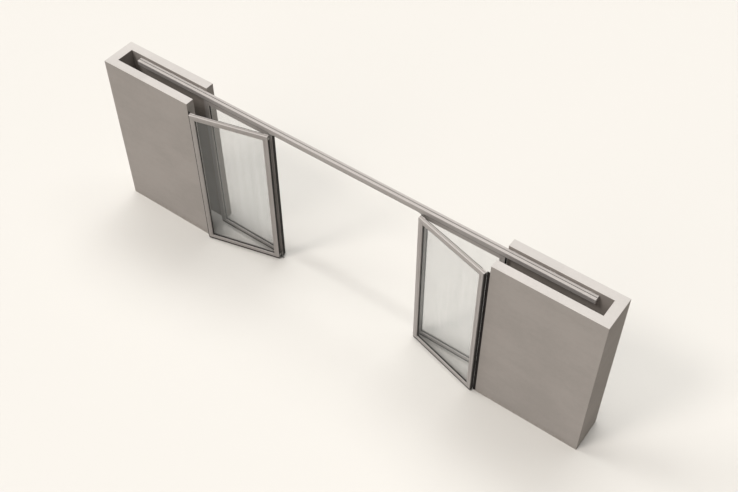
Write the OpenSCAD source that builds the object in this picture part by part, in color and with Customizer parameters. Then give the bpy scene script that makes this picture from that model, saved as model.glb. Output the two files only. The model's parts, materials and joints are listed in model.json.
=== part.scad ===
// Swing-slide glass wall: two hollow wall pockets, one overhead track between them and four framed
// glass leaves. On each side one leaf slides along the track into its pocket, and one leaf swings
// on its own pivots from in front of the sliding leaf round to the middle of the opening.

/* [Pockets] */
// Clear width of the opening between the two pockets
opening_w = 4590; // [4300:10:4800]
// Length of each pocket along the track
pocket_l = 1480; // [1400:10:1700]
// Height of the pocket walls
pocket_h = 2500; // [2300:10:2800]
// Thickness of the front and back walls of a pocket
wall_t = 125; // [100:5:160]
// Thickness of the wall that closes the far end of a pocket
end_wall_t = 136; // [100:2:180]
// Clear width inside a pocket, from front wall to back wall
cavity_w = 257; // [245:1:300]

/* [Track] */
// Width of the track channel
track_w = 82; // [72:1:92]
// Height of the track channel
track_h = 72; // [62:1:84]
// Wall thickness of the track channel
track_wall = 4; // [3:0.5:6]
// Width of the slot along the underside of the track
slot_w = 20; // [18:1:24]
// Bevel along the two upper edges of the track
track_bevel = 6; // [3:1:10]
// Width of the bolt groove along the middle of the top of the track
track_groove_w = 10; // [6:1:14]
// Depth of the bolt groove along the top of the track
track_groove_d = 5; // [3:1:8]
// How far the top of the track lies below the top of the walls
track_drop = 42; // [36:1:76]
// Free space between each end of the track and the end wall of its pocket
track_end_gap = 179; // [100:1:300]
// Gap between the track and the back wall, filled by the wall spacers
track_back_gap = 4; // [3:1:12]
// Width of one wall spacer along the track
spacer_w = 80; // [50:5:120]
// Number of wall spacers in each pocket
spacers = 3; // [2:1:4]
// Distance of the outermost wall spacers from the mouth of the pocket and from the end of the track
spacer_margin = 60; // [20:5:150]
// Thickness of the plates that close the two ends of the track
cap_t = 4; // [2:1:6]

/* [Leaves] */
// Thickness of a leaf
leaf_t = 52; // [48:1:60]
// Width of a leaf's upright stiles, seen from the front
stile_w = 72; // [60:1:90]
// Height of a leaf's top rail
top_rail_h = 72; // [60:1:90]
// Height of a leaf's bottom rail
bottom_rail_h = 48; // [40:1:120]
// Height of a leaf's frame above the floor
frame_lift = 34; // [30:1:50]
// Clearance between a leaf and the underside of the track
top_gap = 14; // [13:1:24]
// Clearance between the swing leaf and the sliding leaf when the one lies folded against the other
fold_gap = 22; // [22:0.5:26]
// Clearance between the two swing leaves where they meet in the middle of the opening
meeting_gap = 7; // [6:1:12]
// Clearance between the seals of a sliding leaf and a swing leaf that stand in line
joint_gap = 6; // [6:1:12]
// Clearance between the free corner of the swing leaf and the mouth of the pocket that it turns past
pass_gap = 6; // [6:1:12]
// How far the sliding leaf, seal included, reaches into its pocket when it is drawn out
pocket_overlap = 15; // [8:1:40]
// Width of the guide groove along the top of a leaf
top_groove_w = 12; // [12:1:16]
// Depth of the guide groove along the top of a leaf
top_groove_d = 8; // [4:1:12]

/* [Glazing and seals] */
// Thickness of the glass
glass_t = 10; // [6:1:12]
// Width of the glazing groove in the stiles and rails
glazing_groove_w = 20; // [18:1:24]
// Depth of the glazing groove in the stiles and rails
glazing_groove_d = 15; // [12:1:20]
// How far the glass and its gaskets reach into the glazing groove
glass_hold = 12; // [8:1:14]
// How far the gaskets stand out of the glazing groove
gasket_show = 4; // [2:1:6]
// Thickness of the rubber seal on the end faces of a leaf
seal_t = 5; // [3:0.5:6]
// Width of the rubber seal on the end faces of a leaf
seal_w = 38; // [30:1:44]
// Distance that the seal on the hinge end stops short of a pivot eye
seal_stop = 10; // [8:1:20]
// Clearance between the rubber sweep under a leaf and the floor
sweep_gap = 9; // [9:1:15]
// Distance of the rubber sweep from the faces and the ends of its leaf
sweep_inset = 3; // [2:1:8]

/* [Pivots] */
// Angle between the swing leaf and the sliding leaf as they stand
swing_open = 14.5; // [0:0.5:20]
// Diameter of the pivot pins
pin_d = 7; // [6:1:7]
// Running clearance between a pivot pin and the bore of its eye, all round
pin_clearance = 0.05; // [0.02:0.01:0.09]
// Outer diameter of a pivot eye
eye_d = 12; // [11:1:12]
// Height of a pivot eye
eye_h = 36; // [24:2:50]
// Distance from the pivot axis to the end face of the swing leaf
pivot_reach = 20; // [16:0.5:22]
// Thickness of the angle that fastens a pivot eye to the swing leaf
eye_plate_t = 4; // [3:0.5:5]
// Thickness of the top pivot plate under the track
top_plate_t = 7; // [5:1:7]
// Thickness of the floor pivot plate
floor_plate_t = 4; // [3:0.5:4]
// Length of the pivot plates along the track
plate_l = 70; // [50:5:100]
// How far the top pivot plate reaches in front of the pivot axis
plate_front = 10; // [8:1:20]
// Distance of the top pivot plate from the slot of the track
plate_slot_gap = 2; // [0:1:4]
// How far the floor pivot plate reaches in front of the pivot axis
floor_plate_front = 22; // [10:1:40]
// How far the floor pivot plate reaches behind the pivot axis
floor_plate_back = 6; // [5:1:6]
// Height of the lower pivot eye above the underside of the leaf's frame
low_eye_lift = 18; // [12:1:60]
// Depth of the upper pivot eye below the top of the leaf
high_eye_drop = 20; // [12:1:60]
// How far the pivot pins reach past their eyes
pin_overrun = 6; // [2:1:12]

/* [Trolleys] */
// Distance from the end faces of the sliding leaf to the middle of its trolleys
trolley_inset = 150; // [120:10:300]
// Diameter of the trolley stems
stem_d = 10; // [8:1:11]
// Diameter of the trolley wheels
wheel_d = 28; // [24:1:32]
// Width of the trolley wheels
wheel_w = 8; // [6:1:10]
// Distance between the two wheel axles of a trolley
wheel_base = 44; // [36:1:60]
// Diameter of the wheel axles
axle_d = 8; // [6:1:10]
// Length of the trolley block
trolley_l = 70; // [60:5:100]
// Height of the trolley block
trolley_h = 26; // [20:1:32]
// Running gap between the wheels and the lips of the track
wheel_gap = 0.5; // [0.3:0.1:1]
// Clearance between the trolleys and the inside of the track
trolley_gap = 5; // [5:0.5:6]

/* [Hidden] */

left = -1;
right = 1;
round_fn = 48;
eps = 1;

plaster = "#b3aba2";
metal = "#a8a09c";
steel = "#6f6c6a";
rubber = "#2c2826";
pane = "#c4ccc6";

// Across the wall, measured from the outer front face of the pockets
pocket_depth = cavity_w + 2 * wall_t;
back_inner_y = wall_t + cavity_w;
track_y1 = back_inner_y - track_back_gap;
track_y0 = track_y1 - track_w;
line_y = (track_y0 + track_y1) / 2;
track_groove_y0 = line_y - track_groove_w / 2;
track_groove_y1 = line_y + track_groove_w / 2;
leaf_front_y = line_y - leaf_t / 2;
axis_y = leaf_front_y - fold_gap / 2;

// Along the track, measured outward from the middle of the opening. The pivot axis stands where
// the free corner of the swing leaf just turns past the mouth of the pocket: the corner reaches
// half_meeting short of the middle, corner_y from the line of the axis, and its circle about the
// axis crosses the inner face of the front wall at pass_x.
mouth_x = opening_w / 2;
outer_x = mouth_x + pocket_l;
end_inner_x = outer_x - end_wall_t;
track_end_x = end_inner_x - track_end_gap;
half_meeting = meeting_gap / 2;
pass_x = mouth_x - pass_gap;
corner_y = (fold_gap + leaf_t + seal_w) / 2;
mouth_depth = axis_y - wall_t;
axis_x = (pow(pass_x, 2) + pow(mouth_depth, 2) - pow(half_meeting, 2) - pow(corner_y, 2))
    / (2 * (pass_x - half_meeting));
lead_x = axis_x - pivot_reach + 2 * seal_t + joint_gap;
swing_w = axis_x - pivot_reach - half_meeting - seal_t;
slide_w = mouth_x + pocket_overlap - lead_x - seal_t;

// The foremost corner of the swing leaf as it stands, and the middle of the whole depth
swing_front_y = axis_y - (pivot_reach + swing_w) * sin(swing_open)
    - (fold_gap / 2 + leaf_t) * cos(swing_open);
middle_y = (pocket_depth + min(0, swing_front_y)) / 2;

// Heights
track_z1 = pocket_h - track_drop;
track_z0 = track_z1 - track_h;
leaf_z0 = frame_lift;
leaf_z1 = track_z0 - top_gap;
sight_z0 = leaf_z0 + bottom_rail_h;
sight_z1 = leaf_z1 - top_rail_h;
low_eye_z = leaf_z0 + low_eye_lift;
high_eye_z = leaf_z1 - high_eye_drop - eye_h;

// Set on one side: +1 as drawn, -1 mirrored in the middle of the opening
module on_side(side) {
    translate([0, -middle_y, 0])
        if (side == left) mirror([1, 0, 0]) children();
        else children();
}

// Local leaf frame: x runs along the leaf from its inner end, y from its front face to its back
module slide_leaf(side) {
    on_side(side) translate([lead_x, leaf_front_y, 0]) children();
}

module swing_leaf(side) {
    on_side(side) translate([axis_x, axis_y, 0]) rotate([0, 0, -swing_open])
        translate([pivot_reach, -fold_gap / 2 - leaf_t, 0]) children();
}

// An upright outline in x and z, thick along y
module upright(points, thickness) {
    translate([0, thickness, 0]) rotate([90, 0, 0]) linear_extrude(thickness) polygon(points);
}

module block(x0, x1, y0, y1, z0, z1) {
    translate([x0, y0, z0]) cube([x1 - x0, y1 - y0, z1 - z0]);
}

// ---- Pockets ----

module front_wall(side) {
    color(plaster) on_side(side) block(mouth_x, end_inner_x, 0, wall_t, 0, pocket_h);
}

module back_wall(side) {
    color(plaster) on_side(side)
        block(mouth_x, end_inner_x, back_inner_y, pocket_depth, 0, pocket_h);
}

module end_wall(side) {
    color(plaster) on_side(side) block(end_inner_x, outer_x, 0, pocket_depth, 0, pocket_h);
}

// ---- Track ----

// Upper outline of the track in y and z, from its front to its back, with the bolt groove
function track_top_line() = [
    [track_y0, track_z1 - track_bevel], [track_y0 + track_bevel, track_z1],
    [track_groove_y0, track_z1], [track_groove_y0, track_z1 - track_groove_d],
    [track_groove_y1, track_z1 - track_groove_d], [track_groove_y1, track_z1],
    [track_y1 - track_bevel, track_z1], [track_y1, track_z1 - track_bevel]
];

// Section of the channel, open along the middle of its underside
module track_section() {
    slot_y0 = line_y - slot_w / 2;
    slot_y1 = line_y + slot_w / 2;
    roof_z = track_z1 - track_wall;
    polygon(concat(
        [[slot_y0, track_z0], [track_y0, track_z0]], track_top_line(),
        [[track_y1, track_z0], [slot_y1, track_z0], [slot_y1, track_z0 + track_wall],
        [track_y1 - track_wall, track_z0 + track_wall],
        [track_y1 - track_wall, track_z1 - track_bevel], [track_y1 - track_bevel, roof_z],
        [track_groove_y1 + track_wall, roof_z],
        [track_groove_y1 + track_wall, roof_z - track_groove_d],
        [track_groove_y0 - track_wall, roof_z - track_groove_d],
        [track_groove_y0 - track_wall, roof_z],
        [track_y0 + track_bevel, roof_z], [track_y0 + track_wall, track_z1 - track_bevel],
        [track_y0 + track_wall, track_z0 + track_wall], [slot_y0, track_z0 + track_wall]]
    ));
}

module along_track(x0, x1) {
    translate([x0, 0, 0]) rotate([90, 0, 90]) linear_extrude(x1 - x0) children();
}

module track() {
    channel_end = track_end_x - cap_t;
    color(metal) translate([0, -middle_y, 0]) along_track(-channel_end, channel_end) track_section();
}

module track_end_caps() {
    color(metal) for (side = [left, right]) on_side(side) along_track(track_end_x - cap_t, track_end_x)
        polygon(concat([[track_y0, track_z0]], track_top_line(), [[track_y1, track_z0]]));
}

// Blocks that carry the track on the inner faces of the back walls
module track_wall_spacers() {
    first_x = mouth_x + spacer_margin;
    pitch = (track_end_x - spacer_margin - spacer_w - first_x) / (spacers - 1);
    color(steel) for (side = [left, right], i = [0 : spacers - 1]) on_side(side)
        block(first_x + i * pitch, first_x + i * pitch + spacer_w, track_y1, back_inner_y,
            track_z0, track_z1 - track_bevel);
}

// ---- Pivots ----

module pivot_pin(z0, z1) {
    translate([axis_x, axis_y, z0]) cylinder(h = z1 - z0, d = pin_d, $fn = round_fn);
}

// Plate under the front lip of the track, with the pin that the upper eye turns on
module top_pivot(side) {
    plate_z0 = track_z0 - top_plate_t;
    color(steel) on_side(side) union() {
        block(axis_x - plate_l / 2, axis_x + plate_l / 2, axis_y - plate_front,
            line_y - slot_w / 2 - plate_slot_gap, plate_z0, track_z0);
        pivot_pin(high_eye_z - pin_overrun, plate_z0 + eps);
    }
}

// Plate on the floor, with the pin that the lower eye turns on
module floor_pivot(side) {
    color(steel) on_side(side) union() {
        block(axis_x - plate_l / 2, axis_x + plate_l / 2, axis_y - floor_plate_front,
            axis_y + floor_plate_back, 0, floor_plate_t);
        pivot_pin(floor_plate_t - eps, low_eye_z + eye_h + pin_overrun);
    }
}

// ---- Leaf frames, in the local leaf frame; w is the width of the leaf ----

module glazing_cut(w) {
    block(stile_w - glazing_groove_d, w - stile_w + glazing_groove_d,
        (leaf_t - glazing_groove_w) / 2, (leaf_t + glazing_groove_w) / 2,
        sight_z0 - glazing_groove_d, sight_z1 + glazing_groove_d);
}

// Stile at the inner end of the leaf; its ends are mitred into the rails
module inner_stile(w) {
    color(metal) difference() {
        upright([[0, leaf_z0], [stile_w, sight_z0], [stile_w, sight_z1], [0, leaf_z1]], leaf_t);
        glazing_cut(w);
    }
}

module outer_stile(w) {
    translate([w, 0, 0]) mirror([1, 0, 0]) inner_stile(w);
}

module top_rail(w) {
    color(metal) difference() {
        upright([[0, leaf_z1], [stile_w, sight_z1], [w - stile_w, sight_z1], [w, leaf_z1]], leaf_t);
        glazing_cut(w);
        block(-eps, w + eps, (leaf_t - top_groove_w) / 2, (leaf_t + top_groove_w) / 2,
            leaf_z1 - top_groove_d, leaf_z1 + eps);
    }
}

module bottom_rail(w) {
    color(metal) difference() {
        upright([[0, leaf_z0], [stile_w, sight_z0], [w - stile_w, sight_z0], [w, leaf_z0]], leaf_t);
        glazing_cut(w);
    }
}

module glass_outline(w, y0, y1) {
    block(stile_w - glass_hold, w - stile_w + glass_hold, y0, y1,
        sight_z0 - glass_hold, sight_z1 + glass_hold);
}

module glass(w) {
    color(pane) glass_outline(w, (leaf_t - glass_t) / 2, (leaf_t + glass_t) / 2);
}

// One rubber frame in front of the glass and one behind it
module gaskets(w) {
    gasket_t = (glazing_groove_w - glass_t) / 2;
    color(rubber) for (y0 = [(leaf_t - glazing_groove_w) / 2, (leaf_t + glass_t) / 2])
        difference() {
            glass_outline(w, y0, y0 + gasket_t);
            block(stile_w + gasket_show, w - stile_w - gasket_show, y0 - eps, y0 + gasket_t + eps,
                sight_z0 + gasket_show, sight_z1 - gasket_show);
        }
}

// Rubber strips on the two end faces, the inner one from z0 to z1, and the sweep under the leaf
module seals(w, z0, z1) {
    y0 = (leaf_t - seal_w) / 2;
    color(rubber) {
        block(-seal_t, 0, y0, y0 + seal_w, z0, z1);
        block(w, w + seal_t, y0, y0 + seal_w, leaf_z0, leaf_z1 - top_groove_d);
        block(sweep_inset, w - sweep_inset, sweep_inset, leaf_t - sweep_inset, sweep_gap, leaf_z0);
    }
}

module slide_seals(w) {
    seals(w, leaf_z0, leaf_z1 - top_groove_d);
}

module swing_seals(w) {
    seals(w, low_eye_z + eye_h + seal_stop, high_eye_z - seal_stop);
}

// Screwed to the inner end face: an angle that reaches behind the leaf, and an eye on the pivot pin
module pivot_eye(z0) {
    eye_y = leaf_t + fold_gap / 2;
    arm_t = eye_d / 2;
    difference() {
        union() {
            block(-eye_plate_t, 0, (leaf_t - seal_w) / 2, eye_y + arm_t / 2, z0, z0 + eye_h);
            block(-pivot_reach, 0, eye_y - arm_t / 2, eye_y + arm_t / 2, z0, z0 + eye_h);
            translate([-pivot_reach, eye_y, z0]) cylinder(h = eye_h, d = eye_d, $fn = round_fn);
        }
        translate([-pivot_reach, eye_y, z0 - eps])
            cylinder(h = eye_h + 2 * eps, d = pin_d + 2 * pin_clearance, $fn = round_fn);
    }
}

module pivot_eyes() {
    color(steel) {
        pivot_eye(low_eye_z);
        pivot_eye(high_eye_z);
    }
}

// Block on four wheels inside the track, with a stem down to the groove of the leaf
module trolley() {
    middle = leaf_t / 2;
    wheel_z = track_z0 + track_wall + wheel_gap + wheel_d / 2;
    block_z0 = track_z0 + track_wall + trolley_gap;
    half_span = track_w / 2 - track_wall - trolley_gap;
    half_block = half_span - wheel_w - 2;
    union() {
        block(-trolley_l / 2, trolley_l / 2, middle - half_block, middle + half_block,
            block_z0, block_z0 + trolley_h);
        translate([0, middle, leaf_z1 - top_groove_d])
            cylinder(h = block_z0 + eps - leaf_z1 + top_groove_d, d = stem_d, $fn = round_fn);
        for (x = [-wheel_base / 2, wheel_base / 2]) {
            translate([x, middle + half_span, wheel_z]) rotate([90, 0, 0])
                cylinder(h = 2 * half_span, d = axle_d, $fn = round_fn);
            for (y = [-half_span, half_span - wheel_w])
                translate([x, middle + y + wheel_w, wheel_z]) rotate([90, 0, 0])
                    cylinder(h = wheel_w, d = wheel_d, $fn = round_fn);
        }
    }
}

module trolleys(w) {
    color(steel) for (x = [trolley_inset, w - trolley_inset]) translate([x, 0, 0]) trolley();
}

// ---- Nodes ----

front_wall(left);  // left_front_wall
back_wall(left);  // left_back_wall
end_wall(left);  // left_end_wall
front_wall(right);  // right_front_wall
back_wall(right);  // right_back_wall
end_wall(right);  // right_end_wall
track();
track_end_caps();
track_wall_spacers();
top_pivot(left);  // left_top_pivot
floor_pivot(left);  // left_floor_pivot
top_pivot(right);  // right_top_pivot
floor_pivot(right);  // right_floor_pivot

slide_leaf(left) inner_stile(slide_w);  // left_slide_lead_stile
slide_leaf(left) outer_stile(slide_w);  // left_slide_trail_stile
slide_leaf(left) top_rail(slide_w);  // left_slide_top_rail
slide_leaf(left) bottom_rail(slide_w);  // left_slide_bottom_rail
slide_leaf(left) glass(slide_w);  // left_slide_glass
slide_leaf(left) gaskets(slide_w);  // left_slide_gaskets
slide_leaf(left) slide_seals(slide_w);  // left_slide_seals
slide_leaf(left) trolleys(slide_w);  // left_slide_trolleys

slide_leaf(right) inner_stile(slide_w);  // right_slide_lead_stile
slide_leaf(right) outer_stile(slide_w);  // right_slide_trail_stile
slide_leaf(right) top_rail(slide_w);  // right_slide_top_rail
slide_leaf(right) bottom_rail(slide_w);  // right_slide_bottom_rail
slide_leaf(right) glass(slide_w);  // right_slide_glass
slide_leaf(right) gaskets(slide_w);  // right_slide_gaskets
slide_leaf(right) slide_seals(slide_w);  // right_slide_seals
slide_leaf(right) trolleys(slide_w);  // right_slide_trolleys

swing_leaf(left) inner_stile(swing_w);  // left_swing_hinge_stile
swing_leaf(left) outer_stile(swing_w);  // left_swing_free_stile
swing_leaf(left) top_rail(swing_w);  // left_swing_top_rail
swing_leaf(left) bottom_rail(swing_w);  // left_swing_bottom_rail
swing_leaf(left) glass(swing_w);  // left_swing_glass
swing_leaf(left) gaskets(swing_w);  // left_swing_gaskets
swing_leaf(left) swing_seals(swing_w);  // left_swing_seals
swing_leaf(left) pivot_eyes();  // left_swing_pivot_eyes

swing_leaf(right) inner_stile(swing_w);  // right_swing_hinge_stile
swing_leaf(right) outer_stile(swing_w);  // right_swing_free_stile
swing_leaf(right) top_rail(swing_w);  // right_swing_top_rail
swing_leaf(right) bottom_rail(swing_w);  // right_swing_bottom_rail
swing_leaf(right) glass(swing_w);  // right_swing_glass
swing_leaf(right) gaskets(swing_w);  // right_swing_gaskets
swing_leaf(right) swing_seals(swing_w);  // right_swing_seals
swing_leaf(right) pivot_eyes();  // right_swing_pivot_eyes
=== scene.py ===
# %% [markdown]
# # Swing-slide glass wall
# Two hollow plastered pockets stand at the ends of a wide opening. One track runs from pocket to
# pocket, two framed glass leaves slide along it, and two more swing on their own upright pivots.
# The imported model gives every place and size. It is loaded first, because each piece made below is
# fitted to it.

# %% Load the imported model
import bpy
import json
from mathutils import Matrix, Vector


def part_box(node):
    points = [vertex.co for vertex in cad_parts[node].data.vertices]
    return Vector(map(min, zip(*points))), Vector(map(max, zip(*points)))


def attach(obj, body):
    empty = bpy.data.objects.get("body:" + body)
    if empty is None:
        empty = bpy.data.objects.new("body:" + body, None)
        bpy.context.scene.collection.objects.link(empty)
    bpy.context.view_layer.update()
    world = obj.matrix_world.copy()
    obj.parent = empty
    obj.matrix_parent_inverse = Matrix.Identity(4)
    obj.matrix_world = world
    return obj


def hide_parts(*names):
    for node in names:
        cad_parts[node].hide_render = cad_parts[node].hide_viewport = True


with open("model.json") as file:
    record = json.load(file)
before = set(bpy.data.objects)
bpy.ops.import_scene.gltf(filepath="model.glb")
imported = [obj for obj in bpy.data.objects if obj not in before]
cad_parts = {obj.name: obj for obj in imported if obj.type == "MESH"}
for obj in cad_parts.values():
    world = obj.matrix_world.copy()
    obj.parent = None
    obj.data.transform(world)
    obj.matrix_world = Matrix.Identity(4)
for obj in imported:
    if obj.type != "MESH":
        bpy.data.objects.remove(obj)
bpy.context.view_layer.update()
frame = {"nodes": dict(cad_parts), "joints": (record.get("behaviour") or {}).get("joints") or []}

# %% Modules and short names
import json
import math

import bmesh
import bpy
from bmesh.types import BMEdge, BMVert
from mathutils import Matrix, Vector

nodes = frame["nodes"]
joints = {joint["name"]: joint for joint in frame["joints"]}
MM = 0.001
CLOSE = 0.01 * MM  # two places nearer than this are one and the same
SIDES = ("left", "right")
print("joints:", ", ".join(joints))

# %% [markdown]
# ## Camera
# The wall is seen from high up and from its right-hand end, with the whole length of the track
# across the view. A camera could be aimed at a target empty, but plain angles are easier to read:
# it is turned a little, tipped down, and rolled by a fraction of a degree. The lens is slightly
# long, so that the upright edges lean only a little toward each other.

# %% Camera


def placed(name, data):
    """A new object with that data, in the scene."""
    made = bpy.data.objects.new(name, data)
    bpy.context.scene.collection.objects.link(made)
    return made


front_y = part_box("right_front_wall")[0].y
camera_data = bpy.data.cameras.new("camera")
camera_data.lens = 52.553
camera_data.sensor_fit = "HORIZONTAL"
camera = placed("camera", camera_data)
camera.matrix_world = (
    Matrix.Translation((5.772, front_y - 7.0098, 11.735))
    @ Matrix.Rotation(math.radians(36.40), 4, "Z")
    @ Matrix.Rotation(math.radians(90 - 49.05), 4, "X")
    @ Matrix.Rotation(math.radians(-0.23), 4, "Z")
)
bpy.context.scene.camera = camera
print("camera height", round(camera.matrix_world.translation.z, 2), "m")

# %% [markdown]
# ## Where the leaves stand
# Both halves of the wall are drawn once, as the right half, and the left half is its mirror. A
# swing leaf stands turned out by a few degrees, so it is drawn in a frame of its own, with the
# pivot axis at the origin and x along the leaf. The matrices below lead from those frames to the
# wall. They come from the joints of the model, so that every piece lands where its solid is.

# %% Frames to draw in
HERE = Matrix.Identity(4)
MIRROR = Matrix.Diagonal((-1, 1, 1, 1))
HALF = {"left": MIRROR, "right": HERE}


def pivot_axis(side):
    """From a frame that stands on the pivot axis of a swing leaf to the wall."""
    x, y, _ = joints[f"{side}_swing"]["pos_m"]
    return HALF[side] @ Matrix.Translation((abs(x), y, 0))


LINE = {f"{side}_slide": HALF[side] for side in SIDES}
for side in SIDES:
    turned_out = math.radians(joints[f"{side}_swing"]["range_deg"][0])
    LINE[f"{side}_swing"] = pivot_axis(side) @ Matrix.Rotation(turned_out, 4, "Z")
LEAVES = {f"{side}_slide": ("lead", "trail") for side in SIDES}
LEAVES |= {f"{side}_swing": ("hinge", "free") for side in SIDES}
print("leaves:", ", ".join(LEAVES))

# %% Measure the solids
STEP = 0.2 * MM


def corners(node, place=HERE, keep=lambda point: True):
    """The points of a solid that keep() accepts, in the frame that place leads from."""
    back = place.inverted()
    points = [back @ vertex.co for vertex in nodes[node].data.vertices]
    return [point for point in points if keep(point)]


def span(points, axis):
    """The lowest and the highest place of points along one axis."""
    return min(point[axis] for point in points), max(point[axis] for point in points)


def measured(node, place=HERE, keep=lambda point: True):
    """The lowest and the highest corner of the box round those points."""
    points = corners(node, place, keep)
    return tuple(Vector(ends) for ends in zip(*(span(points, axis) for axis in range(3))))


def levels(node, axis, place=HERE, keep=lambda point: True):
    """The places along one axis at which a solid has corners, at least a STEP apart, rising."""
    found = []
    for value in sorted(point[axis] for point in corners(node, place, keep)):
        if not found or value - found[-1] > STEP:
            found.append(value)
    return found


leaf_low, leaf_high = measured("right_slide_lead_stile")
LEAF_T = leaf_high.y - leaf_low.y
STILE_W = leaf_high.x - leaf_low.x
LEAF_Z0, LEAF_Z1 = leaf_low.z, leaf_high.z
TOP_H = LEAF_Z1 - measured("right_slide_top_rail")[0].z
BOTTOM_H = measured("right_slide_bottom_rail")[1].z - LEAF_Z0
print("leaf", [round(v / MM) for v in (LEAF_T, STILE_W, TOP_H, BOTTOM_H, LEAF_Z1 - LEAF_Z0)], "mm")

# %% [markdown]
# ## Writing finishes as expressions
# A finish is a small network of nodes. Wired by hand it soon turns into a tangle, so two classes
# keep it readable. A Wire is the output of a node, and sums on wires add Math nodes. A Paint owns
# the network, and its one method makes any other node from its kind, its settings and its sockets.

# %% Wires and paints


class Wire:
    """An output socket on which sums can be written. It knows the paint it belongs to."""

    def __init__(self, paint, socket):
        self.paint, self.socket = paint, socket

    def maths(self, operation, *values):
        return self.paint.node("ShaderNodeMath", {"operation": operation}, dict(enumerate(values)))

    def __add__(self, other):
        return self.maths("ADD", self, other)

    def __sub__(self, other):
        return self.maths("SUBTRACT", self, other)

    def __rsub__(self, other):
        return self.maths("SUBTRACT", other, self)

    def __mul__(self, other):
        return self.maths("MULTIPLY", self, other)

    def __pow__(self, other):
        return self.maths("POWER", self, other)

    def __rpow__(self, other):
        return self.maths("POWER", other, self)

    __radd__, __rmul__ = __add__, __mul__


class Paint:
    """The network of a material or of the world."""

    def __init__(self, owner):
        owner.use_nodes = True
        self.owner, self.tree = owner, owner.node_tree
        self.tree.nodes.clear()

    def node(self, kind, settings=None, sockets=None, out=0):
        made = self.tree.nodes.new(kind)
        for name, value in (settings or {}).items():
            setattr(made, name, value)
        for name, value in (sockets or {}).items():
            if isinstance(value, Wire):
                self.tree.links.new(value.socket, made.inputs[name])
            else:
                made.inputs[name].default_value = value
        return Wire(self, made.outputs[out]) if made.outputs else None


# %% Words that every finish uses


def new_paint(name):
    return Paint(bpy.data.materials.new(name))


def object_place(paint, stretch=(1, 1, 1), turn=0.0):
    """Object coordinates, stretched and turned about the upright axis."""
    place = paint.node("ShaderNodeTexCoord", out="Object")
    turned = paint.node("ShaderNodeMapping", None, {"Vector": place, "Rotation": (0, 0, turn)})
    return paint.node("ShaderNodeVectorMath", {"operation": "MULTIPLY"}, {0: turned, 1: stretch})


def grain(place, scale, detail=3.0, roughness=0.5):
    """Soft noise from 0 to 1."""
    return place.paint.node("ShaderNodeTexNoise", None, {
        "Vector": place, "Scale": scale, "Detail": detail, "Roughness": roughness}, "Fac")


def between(value, low, high, start=0.0, end=1.0):
    """Carries value from low..high to start..end and stops at the ends, with a soft shoulder."""
    return value.paint.node("ShaderNodeMapRange", {"interpolation_type": "SMOOTHSTEP"}, {
        "Value": value, "From Min": low, "From Max": high, "To Min": start, "To Max": end})


def blended(share, *colours):
    """A colour between two colours, each a wire or (red, green, blue)."""
    first, second = [colour if isinstance(colour, Wire) else (*colour, 1.0) for colour in colours]
    return share.paint.node("ShaderNodeMix", {"data_type": "RGBA"},
                            {0: share, 6: first, 7: second}, 2)


def height_of(paint):
    """Height above the floor in metres."""
    place = paint.node("ShaderNodeTexCoord", out="Object")
    return paint.node("ShaderNodeSeparateXYZ", None, {"Vector": place}, "Z")


def facing_up(paint):
    """1 on faces that look up, 0 on upright and overhanging ones."""
    normal = paint.node("ShaderNodeNewGeometry", out="Normal")
    return between(paint.node("ShaderNodeSeparateXYZ", None, {"Vector": normal}, "Z"),
                   0.55, 0.95)


def raised(height, depth, strength=1.0):
    """A fine relief of the given depth."""
    return height.paint.node("ShaderNodeBump", None, {
        "Height": height, "Distance": depth, "Strength": strength}, "Normal")


def finished(paint, **sockets):
    """Closes the network with one Principled shader and gives the material back."""
    names = {name.replace("_", " "): value for name, value in sockets.items()}
    shader = paint.node("ShaderNodeBsdfPrincipled", None, names)
    paint.node("ShaderNodeOutputMaterial", None, {"Surface": shader})
    print("finish", paint.owner.name, "with", len(paint.tree.nodes), "nodes")
    return paint.owner


# %% [markdown]
# ## Plaster
# The pockets are smoothed with fine plaster and painted a matt warm grey. Paint alone would look
# like card, so the colour clouds very slightly over half a metre, the trowel leaves long faint
# strokes, the sand gives a fine grain, and the foot of the wall is a little scuffed. All of it is
# noise on object coordinates, so that it runs on round the corners without a seam. Inside a pocket
# the plaster gets a darker, browner copy of its colour, as painted shade in the hollow.

# %% Plaster


def plaster_finish(name, dark, light, pit, scuff):
    paint = new_paint(name)
    place = object_place(paint)
    cloud = grain(place, 1.7, 3)
    strokes = grain(object_place(paint, (2.2, 2.2, 9.0)), 1.0, 5, 0.6)
    mottle = grain(place, 24, 5, 0.6)
    sand = grain(place, 520, 4, 0.7)
    tone = cloud * 0.45 + strokes * 0.3 + mottle * 0.25
    clouded = blended(between(tone, 0.36, 0.64), dark, light)
    pitted = blended(between(sand, 0.66, 0.74, 0.0, 0.22), clouded, pit)
    foot = 1 - between(height_of(paint), 0.01, 0.16)
    scuffs = foot * 0.5 * between(mottle, 0.42, 0.62)
    colour = blended(scuffs, pitted, scuff)
    relief = strokes * 0.5 + mottle * 0.3 + sand * 0.2
    return finished(
        paint, Base_Color=colour, Roughness=0.78 + mottle * 0.14, Specular_IOR_Level=0.3,
        Normal=raised(relief, 0.9 * MM, 0.5))


plaster = plaster_finish("painted_plaster", (0.440, 0.415, 0.389), (0.488, 0.460, 0.432),
                         (0.33, 0.30, 0.27), (0.34, 0.31, 0.275))
# painted shade: a darker, browner copy of the plaster for the insides of the pockets
pocket_shade_plaster = plaster_finish("pocket_shade_plaster", (0.325, 0.295, 0.270), (0.375, 0.342, 0.315),
                              (0.22, 0.20, 0.18), (0.25, 0.225, 0.20))
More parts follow.
